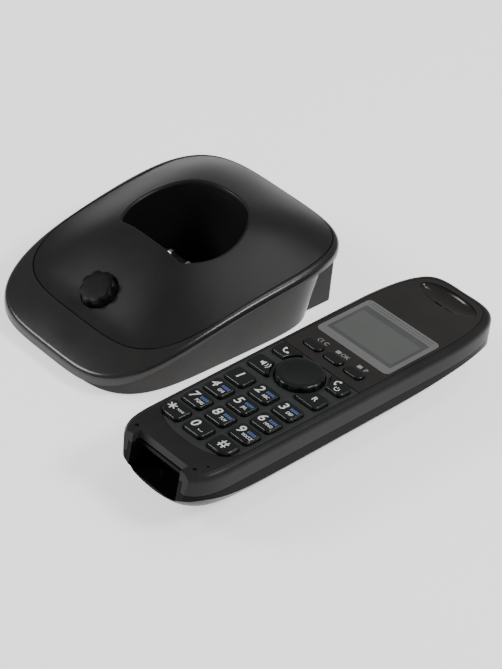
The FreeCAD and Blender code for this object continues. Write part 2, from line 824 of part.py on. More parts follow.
def handset_outline(inset):
    foot = (FOOT_REACH - inset, FOOT_POWER, FOOT_POWER)
    head = (HEAD_REACH - inset, HEAD_POWER_ACROSS, HEAD_POWER_ALONG)
    return oval(HANDSET_HALF_W - inset, HANDSET_HEAD_HALF_W - inset, inset, HANDSET_L - inset, foot, head)


def end_y(z):
    return END_LOW_Y + (END_TOP_Y - END_LOW_Y) * z / FACE_Z


def beyond_end(inset):
    """Everything in front of the slanted charging end."""
    z0, z1 = -20.0, 60.0
    corners = [V(-60, -40, z0), V(-60, end_y(z0) + inset, z0), V(-60, end_y(z1) + inset, z1), V(-60, -40, z1)]
    return Part.Face(Part.makePolygon(corners + corners[:1])).extrude(V(120, 0, 0))


def handset_block(inset, top):
    block = prism(handset_outline(inset), -5, top)
    block = block.common(handset_above(inset))
    return block.cut(beyond_end(inset))


def handset_outer():
    block = prism(handset_outline(0), -5, FACE_Z)
    block = round_edges(block, FACE_EDGE_R, flat_at(FACE_Z))
    return block.common(handset_above(0)).cut(beyond_end(0))


def panel_outline(inset):
    foot = (PANEL_FOOT_REACH - inset, PANEL_FOOT_POWER, PANEL_FOOT_POWER)
    head = (PANEL_HEAD_REACH - inset, HEAD_POWER_ACROSS, HEAD_POWER_ALONG)
    return oval(PANEL_HALF_W - inset, PANEL_HEAD_HALF_W - inset, PANEL_FOOT_Y + inset, PANEL_HEAD_Y - inset, foot, head)


def pocket_cuts():
    """Charging recess and the notch that it makes in the edge of the face."""
    grow = POCKET_WALL + POCKET_FIT
    recess = box(-POCKET_HALF_W - grow, POCKET_HALF_W + grow, -5, POCKET_DEPTH_Y + grow + 1,
                 POCKET_Z[0] - grow, POCKET_Z[1] + grow)
    notch = box(-POCKET_HALF_W, POCKET_HALF_W, -5, NOTCH_Y, POCKET_Z[1], FACE_Z + 5)
    return [recess, notch]


def handset_front_shell():
    shell = handset_outer()
    shell = shell.cut(box(-60, 60, -20, 200, -20, SPLIT_Z + SPLIT_GAP))
    cavity = handset_block(SHELL_WALL, FACE_Z - PANEL_T - LEDGE_T)
    bed = prism(panel_outline(0), FACE_Z - PANEL_T - 0.1, FACE_Z + 5)
    through = prism(panel_outline(PANEL_LEDGE), -5, FACE_Z + 5)
    dimples = both_sides(rod(DIMPLE_R, DIMPLE_X, DIMPLE_Y, FACE_Z - DIMPLE_DEPTH, FACE_Z + 1))
    mic = rod(MIC_HOLE_R, MIC_X, MIC_Y - 2.6, 0, FACE_Z + 1)
    under = FACE_Z - PANEL_T
    room = [shape(KEY_FLANGE + KEY_GAP, 0, under) for name, shape, proud, edge in key_shapes()]
    room += both_sides(rod(BOSS_R, HSCREW_X, HSCREW_Y, 0, under))
    room.append(dish_boss(0.3, 0, under))
    return cut(shell, [cavity, bed, through, mic] + room + dimples + pocket_cuts())


def tray():
    """Battery tray hanging inside the back shell, open towards the cover."""
    w = TRAY_WALL
    outer = box(-TRAY_HALF_W, TRAY_HALF_W, TRAY_Y[0], TRAY_Y[1], 0.5, TRAY_TOP_Z)
    inner = box(-TRAY_HALF_W + w, TRAY_HALF_W - w, TRAY_Y[0] + w, TRAY_Y[1] - w, -5, TRAY_TOP_Z - w)
    return outer.cut(inner).common(handset_above(COVER_T + COVER_GAP))


def cover_plate(gap, thickness):
    outline = rounded_rect(-COVER_HALF_W + gap, COVER_HALF_W - gap, COVER_Y[0] + gap, COVER_Y[1] - gap,
                           [COVER_R - gap] * 4)
    slab = prism(outline, -10, 40)
    return slab.common(handset_above(0)).cut(handset_above(thickness))


def cover_ledge():
    outline = rounded_rect(-COVER_HALF_W - COVER_LIP, COVER_HALF_W + COVER_LIP, COVER_Y[0] - COVER_LIP,
                           COVER_Y[1] + COVER_LIP, [COVER_R + COVER_LIP] * 4)
    slab = prism(outline, -10, 40)
    lift = COVER_T + COVER_GAP
    return slab.common(handset_above(0.5)).cut(handset_above(lift + 1.2))


def back_shell():
    shell = handset_outer()
    shell = shell.cut(box(-60, 60, -20, 200, SPLIT_Z, 60))
    shell = shell.cut(handset_block(SHELL_WALL, 40))
    opening = prism(rounded_rect(-COVER_HALF_W + COVER_LIP, COVER_HALF_W - COVER_LIP,
                                 COVER_Y[0] + COVER_LIP, COVER_Y[1] - COVER_LIP, [COVER_R - COVER_LIP] * 4), -5, 40)
    rebate = prism(rounded_rect(-COVER_HALF_W, COVER_HALF_W, COVER_Y[0], COVER_Y[1], [COVER_R] * 4), -10, 40)
    rebate = rebate.cut(handset_above(COVER_T + COVER_GAP))
    floor = cover_ledge().cut(opening)
    base_z = hull_z(HSCREW_X, HSCREW_Y)
    pillars = both_sides(rod(BOSS_R, HSCREW_X, HSCREW_Y, base_z, SPLIT_Z - 0.3))
    pillars = [p.common(handset_above(0.4)) for p in pillars]
    shell = fuse([shell, floor] + pillars)
    shell = shell.cut(opening.common(box(-60, 60, -20, 200, -5, 8)))
    rails = box(-COVER_HALF_W, COVER_HALF_W, TRAY_Y[0], TRAY_Y[0] + TRAY_WALL, 0, TRAY_TOP_Z)
    rails2 = box(-COVER_HALF_W, COVER_HALF_W, TRAY_Y[1] - TRAY_WALL, TRAY_Y[1], 0, TRAY_TOP_Z)
    webs = fuse([rails, rails2]).common(handset_above(COVER_T + COVER_GAP))
    shell = fuse([shell, tray(), webs])
    tools = [rebate]
    tools += both_sides(rod(SCREW_R + SCREW_GAP, HSCREW_X, HSCREW_Y, -5, 40))
    tools += both_sides(rod(SCREW_HEAD_R + SCREW_GAP, HSCREW_X, HSCREW_Y, -5, HSCREW_Z + SCREW_HEAD_T + 0.2))
    for i in range(GRILLE_SLOTS):
        y = RINGER_Y + (i - (GRILLE_SLOTS - 1) / 2) * GRILLE_PITCH
        half = GRILLE_SLOT_L / 2
        tools.append(box(-half, half, y - GRILLE_SLOT_W / 2, y + GRILLE_SLOT_W / 2, -5, 4))
    return cut(shell, tools + pocket_cuts())


def battery_cover():
    cover = cover_plate(COVER_GAP, COVER_T)
    grips = []
    for i in range(3):
        y = COVER_GRIP_Y + i * 1.8
        grips.append(box(-5, 5, y, y + 0.7, -5, hull_z(0, y) + 0.35))
    return cut(cover, grips)


def battery_cell(sign):
    """One cell with its raised pole at the end away from the coil spring."""
    start = V(sign * CELL_X, CELL_Y, CELL_Z)
    can = Part.makeCylinder(CELL_R, CELL_L, start, Y_AXIS)
    can = round_edges(can, 0.5, lambda b: b.YLength < 0.01)
    if sign > 0:
        nub_start = start + Y_AXIS * (CELL_L - 0.1)
        nub_dir = Y_AXIS
    else:
        nub_start = start + Y_AXIS * 0.1
        nub_dir = Y_AXIS * -1
    nub = Part.makeCylinder(CELL_NUB_R, CELL_NUB_L + 0.1, nub_start, nub_dir)
    return fuse([can, nub])


def coil(centre, length):
    """Compression spring along Y: wire rings joined by short links."""
    pitch = length / (SPRING_RINGS - 1)
    parts = []
    for i in range(SPRING_RINGS):
        level = centre + Y_AXIS * (i * pitch)
        parts.append(Part.makeTorus(SPRING_R, SPRING_WIRE_R, level, Y_AXIS))
        if i > 0:
            side = X_AXIS * (SPRING_R if i % 2 else -SPRING_R)
            parts.append(Part.makeCylinder(SPRING_LINK_R, pitch, level + side - Y_AXIS * pitch, Y_AXIS))
    return fuse(parts)


def battery_springs():
    gap = 0.3
    low_y = TRAY_Y[0] + TRAY_WALL + TAB_T + gap
    high_y = CELL_Y + CELL_L
    low = coil(V(CELL_X, low_y + SPRING_WIRE_R, CELL_Z), CELL_Y - low_y - 2 * SPRING_WIRE_R - 0.1)
    tab_y = TRAY_Y[1] - TRAY_WALL - TAB_T - gap
    high = coil(V(-CELL_X, high_y + SPRING_WIRE_R + 0.1, CELL_Z), tab_y - high_y - 2 * SPRING_WIRE_R - 0.1)
    return Part.makeCompound([low, high])


def battery_tabs():
    tabs = []
    low_y = TRAY_Y[0] + TRAY_WALL + 0.1
    high_y = TRAY_Y[1] - TRAY_WALL - TAB_T - 0.1
    for y in (low_y, high_y):
        for x in (-CELL_X, CELL_X):
            tabs.append(box(x - TAB_W / 2 + 1, x + TAB_W / 2 - 1, y, y + TAB_T, CELL_Z - TAB_H / 2, CELL_Z + TAB_H / 2 - 1))
    return Part.makeCompound(tabs)


def key_levels():
    panel_under = FACE_Z - PANEL_T
    flange_top = panel_under - KEY_FLANGE_GAP
    flange_low = flange_top - KEY_FLANGE_T
    return flange_low, flange_top


def digit_outline(col, row, grow):
    """Outline of a digit key; the outer corners of the first row are rounder."""
    x = (col - 1) * KEY_PITCH_X
    y = KEY_ROW_Y + row * KEY_PITCH_Y
    radii = [KEY_R + grow] * 4
    if row == 0 and col == 0:
        radii[0] = KEY_OUTER_R + grow
    if row == 0 and col == 2:
        radii[1] = KEY_OUTER_R + grow
    half_w = KEY_W / 2 + grow
    half_d = KEY_D / 2 + grow
    return rounded_rect(x - half_w, x + half_w, y - half_d, y + half_d, radii)


def digit_prism(col, row, grow, z0, z1):
    return prism(digit_outline(col, row, grow), z0, z1)


def wing_prism(side, span, grow, z0, z1):
    """Function key that wraps round the navigation disc."""
    if side > 0:
        x0, x1 = WING_INNER_X, WING_OUTER_X
    else:
        x0, x1 = -WING_OUTER_X, -WING_INNER_X
    body = plate(x0 - grow, x1 + grow, span[0] - grow, span[1] + grow, KEY_R + grow, z0, z1)
    return body.cut(rod(NAV_R + WING_NAV_GAP - grow, 0, NAV_Y, z0 - 1, z1 + 1))


def nav_prism(grow, z0, z1):
    return rod(NAV_R + grow, 0, NAV_Y, z0, z1)


def soft_prism(index, grow, z0, z1):
    x = (index - 1) * SOFT_PITCH_X
    half_w = SOFT_W / 2 + grow
    half_d = SOFT_D / 2 + grow
    return plate(x - half_w, x + half_w, SOFT_Y - half_d, SOFT_Y + half_d, SOFT_R + grow, z0, z1)


def key_body(shape, proud, edge_r, flange):
    """Cap that stands proud of the panel, on a flange caught under it."""
    low, top = key_levels()
    cap = shape(0, top - 0.1, FACE_Z + proud)
    cap = round_edges(cap, edge_r, flat_at(FACE_Z + proud))
    return fuse([cap, shape(flange, low, top)])


def key_shapes():
    """Every key: name, outline function, height above the panel and edge radius."""
    names = [["key_star", "key_0", "key_hash"], ["key_7", "key_8", "key_9"],
             ["key_4", "key_5", "key_6"], ["key_1", "key_2", "key_3"]]
    keys = []
    for row in range(4):
        for col in range(3):
            shape = lambda g, a, b, c=col, r=row: digit_prism(c, r, g, a, b)
            keys.append((names[row][col], shape, KEY_PROUD, KEY_EDGE_R))
    wings = [("key_talk", -1, WING_UPPER_Y), ("key_off", 1, WING_UPPER_Y),
             ("key_speaker", -1, WING_LOWER_Y), ("key_recall", 1, WING_LOWER_Y)]
    for name, side, span in wings:
        shape = lambda g, a, b, s=side, p=span: wing_prism(s, p, g, a, b)
        keys.append((name, shape, KEY_PROUD, KEY_EDGE_R * 0.7))
    for index, name in enumerate(("key_soft_left", "key_soft_middle", "key_soft_right")):
        shape = lambda g, a, b, i=index: soft_prism(i, g, a, b)
        keys.append((name, shape, SOFT_PROUD, KEY_EDGE_R * 0.7))
    return keys


def nav_key():
    key = key_body(nav_prism, NAV_PROUD, KEY_EDGE_R, KEY_FLANGE)
    ball_z = FACE_Z + NAV_PROUD - NAV_DISH_DEPTH + NAV_DISH_R
    return key.cut(Part.makeSphere(NAV_DISH_R, V(0, NAV_Y, ball_z)))


def key_holes():
    z0 = FACE_Z - PANEL_T - 1
    z1 = FACE_Z + 1
    holes = [shape(KEY_GAP, z0, z1) for name, shape, proud, edge in key_shapes()]
    return holes + [nav_prism(KEY_GAP, z0, z1)]


def keypad_panel():
    panel = prism(panel_outline(PANEL_SEAM), FACE_Z - PANEL_T, FACE_Z)
    panel = panel.common(box(-60, 60, -20, PANEL_SPLIT_Y - PANEL_SEAM, 0, 60))
    return cut(panel, key_holes()[:16] + key_holes()[-1:])


def dish_ball():
    ball = Part.makeSphere(1.0)
    scale = FreeCAD.Matrix()
    scale.scale(DISH_HALF_W, DISH_HALF_D, DISH_DEPTH)
    ball = ball.transformGeometry(scale)
    ball.translate(V(0, DISH_Y, FACE_Z))
    return ball


def dish_boss(grow, z0, z1):
    half_w = DISH_HALF_W - 0.5 + grow
    half_d = DISH_HALF_D + 0.4 + grow
    return plate(-half_w, half_w, DISH_Y - half_d, DISH_Y + half_d, half_d - 0.5, z0, z1)


def display_panel():
    panel = prism(panel_outline(PANEL_SEAM), FACE_Z - PANEL_T, FACE_Z)
    panel = panel.common(box(-60, 60, PANEL_SPLIT_Y + PANEL_SEAM, 200, 0, 60))
    under = FACE_Z - PANEL_T
    boss = dish_boss(0, under - DISH_BOSS_T, under + 0.5)
    posts = both_sides(rod(BOSS_R - 0.4, HSCREW_X, HSCREW_Y, SPLIT_Z + 0.3, under + 0.5))
    panel = fuse([panel, boss] + posts)
    bed_low = FACE_Z - WINDOW_SINK - WINDOW_T - 0.1
    bed = plate(-WINDOW_HALF_W, WINDOW_HALF_W, WINDOW_Y[0], WINDOW_Y[1], WINDOW_R, bed_low, FACE_Z + 1)
    lip = WINDOW_LIP
    view = plate(-WINDOW_HALF_W + lip, WINDOW_HALF_W - lip, WINDOW_Y[0] + lip, WINDOW_Y[1] - lip, 1.2, 0, FACE_Z + 1)
    tools = [bed, view, dish_ball()] + key_holes()[16:19]
    for sign in (-1, 1):
        x = sign * DISH_SLOT_X
        w, d = DISH_SLOT
        tools.append(box(x - w / 2, x + w / 2, DISH_SLOT_Y - d / 2, DISH_SLOT_Y + d / 2, 10, FACE_Z + 1))
    tools += both_sides(rod(SCREW_R + SCREW_GAP, HSCREW_X, HSCREW_Y, 5, FACE_Z - PANEL_T - 0.6))
    return cut(panel, tools)


def display_window():
    gap = PANEL_SEAM
    top = FACE_Z - WINDOW_SINK
    return plate(-WINDOW_HALF_W + gap, WINDOW_HALF_W - gap, WINDOW_Y[0] + gap, WINDOW_Y[1] - gap,
                 WINDOW_R - gap, top - WINDOW_T, top)


def lcd_top():
    return FACE_Z - PANEL_T - LCD_GAP


def lcd_module():
    return plate(-LCD_HALF_W, LCD_HALF_W, LCD_Y[0], LCD_Y[1], 0.8, lcd_top() - LCD_T, lcd_top())


def lcd_backlight():
    top = lcd_top() - LCD_T - 0.1
    return plate(-LCD_HALF_W + 0.5, LCD_HALF_W - 0.5, LCD_Y[0] + 0.5, LCD_Y[1] - 0.5, 0.8, top - LIGHT_T, top)


def keypad_mat():
    """Rubber sheet with one dome under each key."""
    z0 = HPCB_Z + HPCB_T + MAT_GAP
    z1 = z0 + MAT_T
    mat = plate(-MAT_HALF_W, MAT_HALF_W, MAT_Y[0], MAT_Y[1], 3.0, z0, z1)
    tip = key_levels()[0] - KEY_TRAVEL_GAP
    centres = [((c - 1) * KEY_PITCH_X, KEY_ROW_Y + r * KEY_PITCH_Y) for r in range(4) for c in range(3)]
    wing_x = (WING_INNER_X + WING_OUTER_X) / 2 + 1
    for span in (WING_UPPER_Y, WING_LOWER_Y):
        centres += [(-wing_x, sum(span) / 2), (wing_x, sum(span) / 2)]
    centres += [((i - 1) * SOFT_PITCH_X, SOFT_Y) for i in range(3)]
    centres.append((0, NAV_Y))
    domes = [Part.makeCone(MAT_DOME_R, MAT_DOME_TIP_R, tip - z1 + 0.2, V(x, y, z1 - 0.2)) for x, y in centres]
    return fuse([mat] + domes)


def handset_pcb():
    return plate(-HPCB_HALF_W, HPCB_HALF_W, HPCB_Y[0], HPCB_Y[1], HPCB_R, HPCB_Z, HPCB_Z + HPCB_T)


def handset_antenna():
    w, t, h = HANTENNA
    return box(-w / 2, w / 2, HPCB_Y[1] - 4, HPCB_Y[1] - 4 + t, HPCB_Z - h - 0.05, HPCB_Z - 0.05)


def earpiece_speaker():
    frame = rod(EAR_R, 0, EAR_Y, EAR_Z[0] + 1.5, EAR_Z[1])
    magnet = rod(EAR_R * 0.6, 0, EAR_Y, EAR_Z[0], EAR_Z[0] + 2)
    return round_edges(fuse([frame, magnet]), 0.5, flat_at(EAR_Z[1]))


def ringer_speaker():
    frame = rod(RINGER_R, 0, RINGER_Y, RINGER_Z[0], RINGER_Z[1] - 1.5)
    magnet = rod(RINGER_R * 0.6, 0, RINGER_Y, RINGER_Z[0] + 1, RINGER_Z[1])
    return fuse([frame, magnet])


def microphone():
    top = FACE_Z - PANEL_T - LEDGE_T - 0.3
    return rod(MIC_R, MIC_X, MIC_Y, top - MIC_H, top)


def charge_pocket():
    """Moulded recess in the charging end that carries the two contacts."""
    w = POCKET_WALL
    outer = box(-POCKET_HALF_W - w, POCKET_HALF_W + w, -5, POCKET_DEPTH_Y + w, POCKET_Z[0] - w, POCKET_Z[1] + w)
    recess = box(-POCKET_HALF_W, POCKET_HALF_W, -6, POCKET_DEPTH_Y, POCKET_Z[0], POCKET_Z[1])
    notch = box(-POCKET_HALF_W, POCKET_HALF_W, -6, NOTCH_Y - 0.2, POCKET_Z[0] + 2, FACE_Z)
    half = CHARGE_W / 2 + 0.1
    middle = sum(POCKET_Z) / 2
    slots = both_sides(box(CHARGE_X - half, CHARGE_X + half, POCKET_DEPTH_Y - 1, POCKET_DEPTH_Y + w + 1,
                           middle - CHARGE_H / 2 - 0.1, middle + CHARGE_H / 2 + 0.1))
    body = cut(outer, [recess, notch] + slots)
    return body.common(handset_above(0.1)).cut(beyond_end(0.05))


def charge_contacts():
    """Two contact strips standing in the floor of the recess."""
    middle = sum(POCKET_Z) / 2
    strips = []
    for sign in (-1, 1):
        x = sign * CHARGE_X
        strip = box(x - CHARGE_W / 2, x + CHARGE_W / 2, POCKET_DEPTH_Y - CHARGE_T, POCKET_DEPTH_Y + POCKET_WALL + 1.4,
                    middle - CHARGE_H / 2, middle + CHARGE_H / 2)
        strips.append(round_edges(strip, 0.3, lambda b: b.XLength > 1 and b.YMax < POCKET_DEPTH_Y))
    return Part.makeCompound(strips)


def handset_screws():
    return Part.makeCompound([screw(s * HSCREW_X, HSCREW_Y, HSCREW_Z, HSCREW_L) for s in (-1, 1)])


# ------------------------------------------------------------------- assembly
def base_nodes():
    return {
        "base_lid": base_lid(),
        "base_rim_housing": base_rim(),
        "base_lower_housing": base_tub(),
        "base_jack_block": jack_block(),
        "base_feet": base_feet(),
        "base_screws": base_screws(),
        "cradle_cup": cradle_cup(),
        "cradle_contact_holder": contact_holder(),
        "cradle_contact_left": base_contact(-1),
        "cradle_contact_right": base_contact(1),
        "locator_button": locator_button(),
        "locator_switch": locator_switch(),
        "locator_switch_board": locator_board(),
        "base_pcb": base_pcb(),
        "base_antenna": base_antenna(),
        "line_jack": line_jack(),
        "line_jack_contacts": line_jack_contacts(),
        "dc_jack": dc_jack(),
        "dc_jack_pin": dc_pin(),
    }


def handset_nodes():
    nodes = {
        "handset_front_shell": handset_front_shell(),
        "handset_back_shell": back_shell(),
        "keypad_panel": keypad_panel(),
        "display_panel": display_panel(),
        "display_window": display_window(),
        "lcd_module": lcd_module(),
        "lcd_backlight": lcd_backlight(),
        "keypad_mat": keypad_mat(),
        "handset_pcb": handset_pcb(),
        "handset_antenna": handset_antenna(),
        "earpiece_speaker": earpiece_speaker(),
        "ringer_speaker": ringer_speaker(),
        "microphone": microphone(),
        "charge_pocket": charge_pocket(),
        "charge_contacts": charge_contacts(),
        "battery_cover": battery_cover(),
        "battery_cell_left": battery_cell(-1),
        "battery_cell_right": battery_cell(1),
        "battery_springs": battery_springs(),
        "battery_tabs": battery_tabs(),
        "handset_screws": handset_screws(),
        "nav_key": nav_key(),
    }
    for name, shape, proud, edge_r in key_shapes():
        nodes[name] = key_body(shape, proud, edge_r, KEY_FLANGE)
    return nodes


def main():
    os.makedirs("parts", exist_ok=True)
    nodes = base_nodes()
    for name, shape in handset_nodes().items():
        shape.rotate(ORIGIN, Z_AXIS, HANDSET_TURN_DEG)
        shape.translate(V(HANDSET_X, HANDSET_Y, 0))
        nodes[name] = shape
    whole = Part.makeCompound(list(nodes.values())).optimalBoundingBox()
    for name, shape in nodes.items():
        shape.translate(V(-whole.Center.x, -whole.Center.y, 0))
        shape.exportStep(os.path.join("parts", name + ".step"))


main()
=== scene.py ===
import math

import bmesh
import bpy
from mathutils import Matrix, Vector


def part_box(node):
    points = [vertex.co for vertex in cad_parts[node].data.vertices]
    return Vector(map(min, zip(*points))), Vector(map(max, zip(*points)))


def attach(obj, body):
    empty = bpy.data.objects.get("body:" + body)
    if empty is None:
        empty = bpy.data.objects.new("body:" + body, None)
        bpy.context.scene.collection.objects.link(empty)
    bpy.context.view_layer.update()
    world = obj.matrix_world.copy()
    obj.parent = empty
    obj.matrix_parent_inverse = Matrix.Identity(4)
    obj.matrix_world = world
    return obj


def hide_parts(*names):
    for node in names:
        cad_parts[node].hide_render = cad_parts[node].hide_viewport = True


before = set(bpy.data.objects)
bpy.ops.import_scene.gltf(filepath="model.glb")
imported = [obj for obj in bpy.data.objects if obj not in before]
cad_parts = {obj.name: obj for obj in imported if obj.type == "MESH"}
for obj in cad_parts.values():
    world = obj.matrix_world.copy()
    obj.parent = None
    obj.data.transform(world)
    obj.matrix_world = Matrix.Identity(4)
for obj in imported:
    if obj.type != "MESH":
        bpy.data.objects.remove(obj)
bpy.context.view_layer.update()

MM = 0.001
# Where the two bodies stand, in metres.
RIM_MIDDLE_Y = 0.00145
HANDSET_AT = Vector((0.08725, -0.0832, 0))
HANDSET_TURN = math.radians(0.74)
# Handset, in millimetres: x across, y from the foot, z up.
FACE_Z = 26.0
KEY_TOP = 27.5
PITCH_X = 11.9
PITCH_Y = 10.06
FIRST_ROW_Y = 22.5
NAV_Y = 70.2
NAV_R = 9.2
MARK_Y = 91.4
# Base, in millimetres.
BUTTON_Y = -33.0
LID_AT_BUTTON = 21.365
BUTTON_SLOPE = math.radians(34.026)
# Print: how far it stands over its face and how far it is sunk into it.
PRINT_T = 0.012
PRINT_SINK = 0.01
PRINT_Z = KEY_TOP + PRINT_T
MARK_Z = FACE_Z + 0.015
STROKE_FLAT = 0.08
DIGIT_SIZE = 5.4
LETTER_SIZE = 2.0
THIN_LINE = 0.34
# Materials.
COAT_ROUGH = 0.06
GRAIN_HEIGHT = 0.0001
MOTTLE_FROM = 0.3
MOTTLE_TO = 0.7

rim_low, rim_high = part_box("base_rim_housing")
BASE = Vector(((rim_low.x + rim_high.x) / 2, (rim_low.y + rim_high.y) / 2 - RIM_MIDDLE_Y, 0))
BASE_FRAME = Matrix.Translation(BASE)
HANDSET = Matrix.Translation(BASE + HANDSET_AT) @ Matrix.Rotation(HANDSET_TURN, 4, "Z")


# ------------------------------------------------------------------ materials
def material(name, colour, rough, metal=0.0, spec=0.5, coat=0.0, bump=0.03, grain=2600.0, spread=0.12,
             rough_spread=0.05, smudge=60.0, glow=0.0):
    """Procedural surface: faintly mottled colour and roughness, with a fine grain in relief."""
    m = bpy.data.materials.new(name)
    m.use_nodes = True
    nt = m.node_tree
    nt.nodes.clear()
    out = nt.nodes.new("ShaderNodeOutputMaterial")
    sh = nt.nodes.new("ShaderNodeBsdfPrincipled")
    nt.links.new(sh.outputs[0], out.inputs[0])
    sh.inputs["Metallic"].default_value = metal
    sh.inputs["Specular IOR Level"].default_value = spec
    sh.inputs["Coat Weight"].default_value = coat
    sh.inputs["Coat Roughness"].default_value = COAT_ROUGH
    sh.inputs["Emission Color"].default_value = (1, 1, 1, 1)
    sh.inputs["Emission Strength"].default_value = glow
    tc = nt.nodes.new("ShaderNodeTexCoord")
    noise = nt.nodes.new("ShaderNodeTexNoise")
    noise.inputs["Scale"].default_value = smudge
    noise.inputs["Detail"].default_value = 4
    nt.links.new(tc.outputs["Object"], noise.inputs["Vector"])
    ramp = nt.nodes.new("ShaderNodeValToRGB")
    ramp.color_ramp.elements[0].position = MOTTLE_FROM
    ramp.color_ramp.elements[1].position = MOTTLE_TO
    ramp.color_ramp.elements[0].color = tuple(c * (1 - spread) for c in colour) + (1,)
    ramp.color_ramp.elements[1].color = tuple(min(1, c * (1 + spread)) for c in colour) + (1,)
    nt.links.new(noise.outputs["Fac"], ramp.inputs[0])
    nt.links.new(ramp.outputs[0], sh.inputs["Base Color"])
    rr = nt.nodes.new("ShaderNodeMapRange")
    rr.inputs["To Min"].default_value = max(0.02, rough - rough_spread)
    rr.inputs["To Max"].default_value = rough + rough_spread
    nt.links.new(noise.outputs["Fac"], rr.inputs["Value"])
    nt.links.new(rr.outputs[0], sh.inputs["Roughness"])
    fine = nt.nodes.new("ShaderNodeTexNoise")
    fine.inputs["Scale"].default_value = grain
    nt.links.new(tc.outputs["Object"], fine.inputs["Vector"])
    bp = nt.nodes.new("ShaderNodeBump")
    bp.inputs["Strength"].default_value = bump
    bp.inputs["Distance"].default_value = GRAIN_HEIGHT
    nt.links.new(fine.outputs["Fac"], bp.inputs["Height"])
    nt.links.new(bp.outputs[0], sh.inputs["Normal"])
    return m


SLOTS = {
    "lid_black": dict(colour=(0.0115, 0.0115, 0.012), rough=0.38, spec=0.32, bump=0.22, grain=3000),
    "rim_grey": dict(colour=(0.020, 0.0195, 0.019), rough=0.23, spec=0.45, bump=0.06),
    "housing_gloss": dict(colour=(0.042, 0.040, 0.039), rough=0.16, spec=0.14, bump=0.02),
    "block_grey": dict(colour=(0.022, 0.021, 0.021), rough=0.4, spec=0.14, bump=0.1),
    "foot_rubber": dict(colour=(0.02, 0.02, 0.02), rough=0.8, bump=0.2),
    "screw_steel": dict(colour=(0.55, 0.55, 0.56), rough=0.3, metal=1.0),
    "well_black": dict(colour=(0.010, 0.010, 0.010), rough=0.4, spec=0.3, bump=0.05),
    "switch_black": dict(colour=(0.02, 0.02, 0.02), rough=0.5),
    "board_green": dict(colour=(0.02, 0.14, 0.06), rough=0.3, coat=0.4),
    "tin_plate": dict(colour=(0.62, 0.62, 0.60), rough=0.3, metal=1.0),
    "jack_black": dict(colour=(0.015, 0.015, 0.015), rough=0.45),
    "contact_gold": dict(colour=(0.80, 0.62, 0.25), rough=0.25, metal=1.0),
    "contact_nickel": dict(colour=(0.45, 0.445, 0.43), rough=0.2, metal=1.0, bump=0.01),
    "button_black": dict(colour=(0.006, 0.006, 0.006), rough=0.35, spec=0.14, bump=0.12),
    "shell_grey": dict(colour=(0.023, 0.023, 0.0235), rough=0.3, spec=0.08, bump=0.05),
    "shell_black": dict(colour=(0.005, 0.005, 0.0055), rough=0.26, spec=0.05, bump=0.02),
    "panel_charcoal": dict(colour=(0.033, 0.035, 0.036), rough=0.36, spec=0.35, bump=0.1),
    "panel_gloss": dict(colour=(0.024, 0.021, 0.020), rough=0.17, spec=0.3, coat=0.08, bump=0.01),
    "window_grey": dict(colour=(0.080, 0.083, 0.083), rough=0.12, spec=0.4, coat=0.2, bump=0.005),
    "lcd_grey": dict(colour=(0.2, 0.21, 0.2), rough=0.3),
    "light_guide": dict(colour=(0.75, 0.76, 0.74), rough=0.4),
    "mat_rubber": dict(colour=(0.05, 0.05, 0.055), rough=0.7),
    "speaker_steel": dict(colour=(0.40, 0.40, 0.41), rough=0.35, metal=1.0),
    "cell_sleeve": dict(colour=(0.10, 0.30, 0.16), rough=0.35),
    "key_black": dict(colour=(0.0070, 0.0080, 0.0080), rough=0.24, spec=0.42, bump=0.03),
}
PAINT = {slot: material(slot, **settings) for slot, settings in SLOTS.items()}
WHITE = material("legend_white", (0.80, 0.80, 0.78), 0.5, spec=0.3, spread=0.04)
BLUE = material("legend_blue", (0.075, 0.13, 0.33), 0.5, spec=0.3, spread=0.06)
PALE = material("legend_grey", (0.30, 0.30, 0.30), 0.4, spec=0.4, spread=0.05)
FRAME_GREY = material("window_print", (0.155, 0.155, 0.158), 0.16, coat=0.4, spread=0.04, bump=0.004)
LCD_FACE = material("lcd_face", (0.105, 0.109, 0.105), 0.16, coat=0.2, spread=0.05, bump=0.004)
LINE_DARK = material("print_line", (0.06, 0.06, 0.06), 0.2, coat=0.5, spread=0.05)

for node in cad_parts.values():
    slot = node.data.materials[0].name.split(".")[0]
    node.data.materials.clear()
    node.data.materials.append(PAINT[slot])


# --------------------------------------------------------------------- pieces
def piece(name, parts, place, body):
    """One object from (bmesh, material) parts in millimetres, riding on a body."""
    joined = bmesh.new()
    mesh = bpy.data.meshes.new(name)
    for index, (bm, paint) in enumerate(parts):
        for face in bm.faces:
            face.material_index = index
        part = bpy.data.meshes.new(name)
        bm.to_mesh(part)
        bm.free()
        joined.from_mesh(part)
        bpy.data.meshes.remove(part)
        mesh.materials.append(paint)
    bmesh.ops.transform(joined, matrix=place @ Matrix.Scale(MM, 4), verts=joined.verts)
    joined.to_mesh(mesh)
    joined.free()
    obj = bpy.data.objects.new(name, mesh)
    bpy.context.scene.collection.objects.link(obj)
    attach(obj, body)
    return obj


def from_curve(curve, flat):
    """Mesh of a curve, flattened and placed by a matrix."""
    obj = bpy.data.objects.new("temp", curve)
    bpy.context.scene.collection.objects.link(obj)
    graph = bpy.context.evaluated_depsgraph_get()
    mesh = bpy.data.meshes.new_from_object(obj.evaluated_get(graph))
    bm = bmesh.new()
    bm.from_mesh(mesh)
    bmesh.ops.transform(bm, matrix=flat, verts=bm.verts)
    bpy.data.objects.remove(obj)
    bpy.data.meshes.remove(mesh)
    bpy.data.curves.remove(curve)
    return bm


